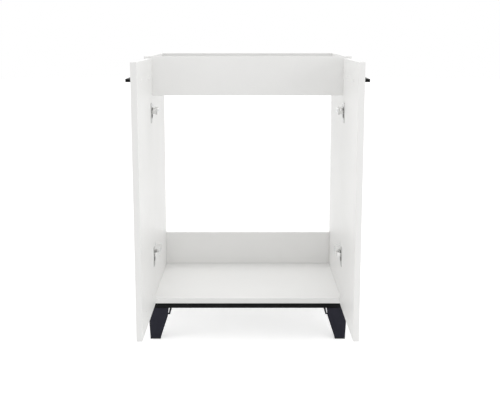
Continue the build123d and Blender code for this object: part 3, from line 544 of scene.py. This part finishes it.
def aim_at(made, target):
    """Turn a lamp so that it faces a point."""
    toward = (np.array(target) - np.array(made.location)).astype(float)
    flat = math.hypot(toward[0], toward[1])
    made.rotation_euler = (
        math.pi / 2 + math.atan2(toward[2], flat),
        0.0,
        math.atan2(toward[1], toward[0]) - math.pi / 2,
    )


def add_lamp(name, place, target, size, power):
    """Square soft box."""
    data = bpy.data.lights.new(name, "AREA")
    data.shape = "SQUARE"
    data.size = size
    data.energy = power
    made = bpy.data.objects.new(name, data)
    made.location = place
    aim_at(made, target)
    bpy.context.scene.collection.objects.link(made)


def add_camera(settings):
    """Camera at the photo's viewing angle, looking along +Y and a little down."""
    data = bpy.data.cameras.new("photo_camera")
    data.lens = settings.lens
    data.sensor_width = SENSOR_WIDTH_MM
    data.shift_x = settings.shift_x
    data.shift_y = settings.shift_y
    camera = bpy.data.objects.new("photo_camera", data)
    camera.location = settings.camera_place
    camera.rotation_euler = (math.pi / 2 - settings.camera_dip, 0.0, 0.0)
    bpy.context.scene.collection.objects.link(camera)
    bpy.context.scene.camera = camera


# ---- settings
class BoardSettings(bpy.types.PropertyGroup):
    """Colours and texture of the melamine-faced boards and their screw caps, with painted shade in
    the rear top rail's white and in the edge band.
    """

    carcass_colour: bpy.props.FloatVectorProperty(
        name="Carcass",
        description="White of the carcass boards",
        default=(0.895, 0.893, 0.882),
        subtype="COLOR",
    )
    door_colour: bpy.props.FloatVectorProperty(
        name="Doors",
        description="White of the doors",
        default=(0.895, 0.893, 0.88),
        subtype="COLOR",
    )
    # the rear top rail's white is greyer than the carcass white as painted shade on that rail
    rear_rail_shade_colour: bpy.props.FloatVectorProperty(
        name="Rear top rail",
        description="White of the rear top rail",
        default=(0.79, 0.788, 0.778),
        subtype="COLOR",
    )
    drift: bpy.props.FloatProperty(
        name="Drift",
        description="What duller patches keep of a face's colour",
        default=0.978,
        min=0.0,
        max=1.0,
        subtype="FACTOR",
    )
    # the banding's own white, darkened further as painted shade on narrow faces such as the doors'
    # free edges
    band_and_shade_colour: bpy.props.FloatVectorProperty(
        name="Edge band",
        description="White of the edge banding",
        default=(0.85, 0.848, 0.837),
        subtype="COLOR",
    )
    seam_colour: bpy.props.FloatVectorProperty(
        name="Seam",
        description="Glue line beside the banding",
        default=(0.42, 0.40, 0.37),
        subtype="COLOR",
    )
    core_colour: bpy.props.FloatVectorProperty(
        name="Core",
        description="Chipboard inside drilled holes",
        default=(0.36, 0.24, 0.13),
        subtype="COLOR",
    )
    seam_strength: bpy.props.FloatProperty(
        name="Seam strength",
        description="How dark the glue line is",
        default=0.45,
        min=0.0,
        max=1.0,
        subtype="FACTOR",
    )
    band_thickness: bpy.props.FloatProperty(
        name="Band thickness",
        description="Thickness of the edge banding",
        default=0.0009,
        unit="LENGTH",
    )
    roughness: bpy.props.FloatProperty(
        name="Roughness",
        description="Roughness of the pressed face where it is glossiest",
        default=0.38,
        min=0.0,
        max=1.0,
        subtype="FACTOR",
    )
    shine: bpy.props.FloatProperty(
        name="Shine",
        description="How much the boards mirror",
        default=0.45,
        min=0.0,
        max=1.0,
        subtype="FACTOR",
    )
    grains_per_metre: bpy.props.FloatProperty(
        name="Grains",
        description="Fineness of the pressed texture, to the metre",
        default=1100.0,
    )
    grain_strength: bpy.props.FloatProperty(
        name="Grain strength",
        description="Height of the pressed texture",
        default=0.16,
        min=0.0,
        max=1.0,
        subtype="FACTOR",
    )
    cap_colour: bpy.props.FloatVectorProperty(
        name="Caps",
        description="Plastic of the screw caps",
        default=(0.80, 0.80, 0.79),
        subtype="COLOR",
    )
    cap_roughness: bpy.props.FloatProperty(
        name="Cap roughness",
        description="Roughness of the screw caps where they are glossiest",
        default=0.35,
        min=0.0,
        max=1.0,
        subtype="FACTOR",
    )


class SteelSettings(bpy.types.PropertyGroup):
    """Colours and wear of the black steel, its plastic pads and the plated fittings, with a
    painted reflection on the legs, painted highlights on rubbed edges and painted shade on the
    hinge cups.
    """

    frame_colour: bpy.props.FloatVectorProperty(
        name="Frame",
        description="Black of the base's tubes",
        default=(0.003, 0.003, 0.003),
        subtype="COLOR",
    )
    # the legs' black is lifted and tinted blue as a painted reflection of the pale surroundings
    leg_colour_and_reflection: bpy.props.FloatVectorProperty(
        name="Legs",
        description="Black of the legs",
        default=(0.005, 0.005, 0.013),
        subtype="COLOR",
    )
    handle_colour: bpy.props.FloatVectorProperty(
        name="Handles",
        description="Black of the handles",
        default=(0.002, 0.002, 0.0022),
        subtype="COLOR",
    )
    coat_drift_colour: bpy.props.FloatVectorProperty(
        name="Coat drift",
        description="How much lighter patches of a coat are",
        default=(0.006, 0.006, 0.007),
        subtype="COLOR",
    )
    # edges in this colour are rubbed coat and partly a painted edge highlight
    rubbed_and_highlight_colour: bpy.props.FloatVectorProperty(
        name="Rubbed edge",
        description="Coat where it is rubbed thin",
        default=(0.06, 0.058, 0.062),
        subtype="COLOR",
    )
    dust_colour: bpy.props.FloatVectorProperty(
        name="Dust",
        description="Dust on faces that look up",
        default=(0.30, 0.29, 0.28),
        subtype="COLOR",
    )
    # the rubbed edges this sets are partly a painted edge highlight
    edge_wear_and_highlight: bpy.props.FloatProperty(
        name="Edge wear",
        description="How much the edges are rubbed",
        default=0.6,
        min=0.0,
        max=1.0,
        subtype="FACTOR",
    )
    dust: bpy.props.FloatProperty(
        name="Dust amount",
        description="How much dust has settled",
        default=0.08,
        min=0.0,
        max=1.0,
        subtype="FACTOR",
    )
    coat_roughness: bpy.props.FloatProperty(
        name="Coat roughness",
        description="Roughness of the powder coat where it is glossiest",
        default=0.36,
        min=0.0,
        max=1.0,
        subtype="FACTOR",
    )
    frame_shine: bpy.props.FloatProperty(
        name="Frame shine",
        description="How much the base's tubes mirror",
        default=0.08,
        min=0.0,
        max=1.0,
        subtype="FACTOR",
    )
    leg_shine: bpy.props.FloatProperty(
        name="Leg shine",
        description="How much the legs mirror",
        default=0.2,
        min=0.0,
        max=1.0,
        subtype="FACTOR",
    )
    handle_shine: bpy.props.FloatProperty(
        name="Handle shine",
        description="How much the handles mirror",
        default=0.07,
        min=0.0,
        max=1.0,
        subtype="FACTOR",
    )
    pad_colour: bpy.props.FloatVectorProperty(
        name="Pads",
        description="Plastic of the pads and end plugs",
        default=(0.012, 0.012, 0.012),
        subtype="COLOR",
    )
    pad_roughness: bpy.props.FloatProperty(
        name="Pad roughness",
        description="Roughness of the pads where they are glossiest",
        default=0.5,
        min=0.0,
        max=1.0,
        subtype="FACTOR",
    )
    nickel_colour: bpy.props.FloatVectorProperty(
        name="Nickel",
        description="Plating of the hinges",
        default=(0.80, 0.80, 0.79),
        subtype="COLOR",
    )
    # the cups' plating is darker than the hinge nickel, and its edge tint darkens it more at a
    # slant, as painted shade on the cup flanges
    cup_shade_colour: bpy.props.FloatVectorProperty(
        name="Cups",
        description="Plating of the hinge cups",
        default=(0.66, 0.66, 0.65),
        subtype="COLOR",
    )
    cup_edge_tint: bpy.props.FloatProperty(
        name="Cup edge tint",
        description="How bright the cups look at a slant",
        default=0.7,
        min=0.0,
        max=1.0,
        subtype="FACTOR",
    )
    zinc_colour: bpy.props.FloatVectorProperty(
        name="Zinc",
        description="Plating of the screws",
        default=(0.74, 0.75, 0.76),
        subtype="COLOR",
    )
    bright_colour: bpy.props.FloatVectorProperty(
        name="Bright zinc",
        description="Plating of the handles' screws",
        default=(0.90, 0.90, 0.89),
        subtype="COLOR",
    )
    nickel_roughness: bpy.props.FloatProperty(
        name="Nickel roughness",
        description="Roughness of the hinges and screws where they are glossiest",
        default=0.2,
        min=0.0,
        max=1.0,
        subtype="FACTOR",
    )
    bright_roughness: bpy.props.FloatProperty(
        name="Bright roughness",
        description="Roughness of the handles' screws where they are glossiest",
        default=0.32,
        min=0.0,
        max=1.0,
        subtype="FACTOR",
    )


class StageSettings(bpy.types.PropertyGroup):
    """Camera, floor and light."""

    camera_place: bpy.props.FloatVectorProperty(
        name="Camera",
        description="Place of the lens",
        default=(0.0001, -2.1653, 0.9210),
        subtype="XYZ",
        unit="LENGTH",
    )
    camera_dip: bpy.props.FloatProperty(
        name="Dip",
        description="How far the camera looks below level",
        default=0.149,
        subtype="ANGLE",
    )
    lens: bpy.props.FloatProperty(
        name="Lens",
        description="Focal length, in mm",
        default=52.97,
        unit="CAMERA",
    )
    shift_x: bpy.props.FloatProperty(
        name="Shift across",
        description="Sideways shift, in frame widths",
        default=0.0045,
    )
    shift_y: bpy.props.FloatProperty(
        name="Shift up",
        description="Upward shift, in frame widths",
        default=-0.11,
    )
    floor_reach: bpy.props.FloatProperty(
        name="Floor",
        description="Radius of the floor",
        default=14.0,
        unit="LENGTH",
    )
    floor_colour: bpy.props.FloatVectorProperty(
        name="Floor colour",
        description="Paint of the floor",
        default=(0.86, 0.86, 0.86),
        subtype="COLOR",
    )
    floor_lift: bpy.props.FloatProperty(
        name="Floor lift",
        description="What is added to the floor as the camera sees it",
        default=0.50,
    )
    sky_strength: bpy.props.FloatProperty(
        name="Sky",
        description="Strength of the light from all round",
        default=0.82,
    )
    top_power: bpy.props.FloatProperty(
        name="Top",
        description="Power of the lamp above the back",
        default=13.5,
        unit="POWER",
    )
    left_power: bpy.props.FloatProperty(
        name="Left",
        description="Power of the lamp at the left",
        default=11.0,
        unit="POWER",
    )
    right_power: bpy.props.FloatProperty(
        name="Right",
        description="Power of the lamp at the right",
        default=7.5,
        unit="POWER",
    )
    near_power: bpy.props.FloatProperty(
        name="Near",
        description="Power of the small lamp near the right door",
        default=2.5,
        unit="POWER",
    )
    back_power: bpy.props.FloatProperty(
        name="Back",
        description="Power of the lamp behind",
        default=3.0,
        unit="POWER",
    )


# ---- operators
class CABINET_OT_shared_effects(bpy.types.Operator):
    """Build the shader groups that the finishes share."""

    bl_idname = "cabinet.shared_effects"
    bl_label = "Build shared effects"

    def execute(self, context):
        build_surface_grain()
        build_uneven_gloss()
        build_board_zones()
        build_pressed_chips()
        build_worn_and_highlit_edges()
        build_settled_dust()
        return {"FINISHED"}


class CABINET_OT_boards(bpy.types.Operator):
    """Give every board its melamine, worked out from the board's own box, and finish the caps."""

    bl_idname = "cabinet.boards"
    bl_label = "Finish boards and doors"

    def execute(self, context):
        settings = context.scene.cabinet_boards
        colours_and_shade = {
            "door_left": settings.door_colour,
            "door_right": settings.door_colour,
            # the rear top rail's greyer white is painted shade
            "rear_top_rail": settings.rear_rail_shade_colour,
        }
        for node, axis in BOARDS.items():
            colour = colours_and_shade.get(node, settings.carcass_colour)
            dress(melamine(settings, node, axis, colour), node)
        caps = moulded_plastic("cap_plastic", settings.cap_colour, settings.cap_roughness)
        dress(caps, *nodes_in_slot("cap_plastic"))
        return {"FINISHED"}


class CABINET_OT_base(bpy.types.Operator):
    """Coat the base frame and the legs, and finish their plastic plugs and pads."""

    bl_idname = "cabinet.base"
    bl_label = "Finish base and legs"

    def execute(self, context):
        settings = context.scene.cabinet_steel
        tubes = coated_steel("frame_coat", settings, settings.frame_colour, settings.frame_shine)
        # the legs' lighter bluish coat holds a painted reflection
        legs = coated_steel("leg_coat", settings, settings.leg_colour_and_reflection, settings.leg_shine)
        for node in nodes_in_slot("black_steel"):
            dress(legs if node.startswith("leg_") else tubes, node)
        pads = moulded_plastic("black_pad_plastic", settings.pad_colour, settings.pad_roughness)
        dress(pads, *nodes_in_slot("black_plastic"))
        return {"FINISHED"}


class CABINET_OT_handles(bpy.types.Operator):
    """Coat the two bar handles."""

    bl_idname = "cabinet.handles"
    bl_label = "Finish handles"

    def execute(self, context):
        settings = context.scene.cabinet_steel
        coat = coated_steel("handle_coat", settings, settings.handle_colour, settings.handle_shine)
        dress(coat, *nodes_in_slot("handle_black"))
        return {"FINISHED"}


class CABINET_OT_fittings(bpy.types.Operator):
    """Plate the hinges and every screw, bolt and pin."""

    bl_idname = "cabinet.fittings"
    bl_label = "Finish hinges and screws"

    def execute(self, context):
        settings = context.scene.cabinet_steel
        gloss = settings.nickel_roughness
        nickel = plated_steel("nickel_plate", settings.nickel_colour, gloss, "Y")
        # cups get a darker copy of the nickel, as painted shade on their flanges
        cups = plated_steel("cup_plate", settings.cup_shade_colour, gloss, "Z", settings.cup_edge_tint)
        for node in nodes_in_slot("nickel_steel"):
            dress(cups if node.startswith("hinge_cup_") else nickel, node)
        zinc = plated_steel("zinc_plate", settings.zinc_colour, gloss, "X")
        gloss = settings.bright_roughness
        bright = plated_steel("bright_plate", settings.bright_colour, gloss, "X")
        for node in nodes_in_slot("zinc_steel"):
            dress(bright if node.startswith("handle_screws_") else zinc, node)
        return {"FINISHED"}


class CABINET_OT_stage(bpy.types.Operator):
    """Set up the camera, the pale floor, the air and five soft lamps."""

    bl_idname = "cabinet.stage"
    bl_label = "Set up the studio"

    def execute(self, context):
        settings = context.scene.cabinet_stage
        points = floor_points(settings.floor_reach, FLOOR_RINGS, FLOOR_SPOKES)
        floor = grid_mesh("studio_floor", points)
        floor.data.materials.append(floor_paint(settings))
        build_world(settings)
        middle = (0.0, 0.0, CAD_BOX[1][2] * 0.5)
        for name, place, size in LAMPS:
            power = getattr(settings, f"{name}_power")
            add_lamp(f"{name}_lamp", place, middle, size, power)
        add_camera(settings)
        context.scene.view_settings.view_transform = "Standard"
        return {"FINISHED"}


class CABINET_PT_sidebar(bpy.types.Panel):
    """Lists the cabinet's steps and settings."""

    bl_idname = "CABINET_PT_sidebar"
    bl_label = "Sink base cabinet"
    bl_space_type = "VIEW_3D"
    bl_region_type = "UI"
    bl_category = "Cabinet"

    def draw(self, context):
        layout = self.layout
        for step in STEPS:
            layout.operator(step.bl_idname)
        for group_name in SETTINGS:
            group = getattr(context.scene, group_name)
            box = layout.box()
            for name in group.bl_rna.properties.keys():
                if name not in {"rna_type", "name"}:
                    box.prop(group, name)


STEPS = (
    CABINET_OT_shared_effects,
    CABINET_OT_boards,
    CABINET_OT_base,
    CABINET_OT_handles,
    CABINET_OT_fittings,
    CABINET_OT_stage,
)
SETTINGS = {
    "cabinet_boards": BoardSettings,
    "cabinet_steel": SteelSettings,
    "cabinet_stage": StageSettings,
}


def register():
    """Add the settings to the scene, then the operators and the panel."""
    for name, group in SETTINGS.items():
        bpy.utils.register_class(group)
        setattr(bpy.types.Scene, name, bpy.props.PointerProperty(type=group))
    for step in (*STEPS, CABINET_PT_sidebar):
        bpy.utils.register_class(step)


def unregister():
    """Take away what register added."""
    for step in reversed((*STEPS, CABINET_PT_sidebar)):
        bpy.utils.unregister_class(step)
    for name, group in SETTINGS.items():
        delattr(bpy.types.Scene, name)
        bpy.utils.unregister_class(group)


def main():
    """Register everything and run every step."""
    register()
    bpy.ops.cabinet.shared_effects()
    bpy.ops.cabinet.boards()
    bpy.ops.cabinet.base()
    bpy.ops.cabinet.handles()
    bpy.ops.cabinet.fittings()
    bpy.ops.cabinet.stage()


if __name__ == "__main__":
    main()
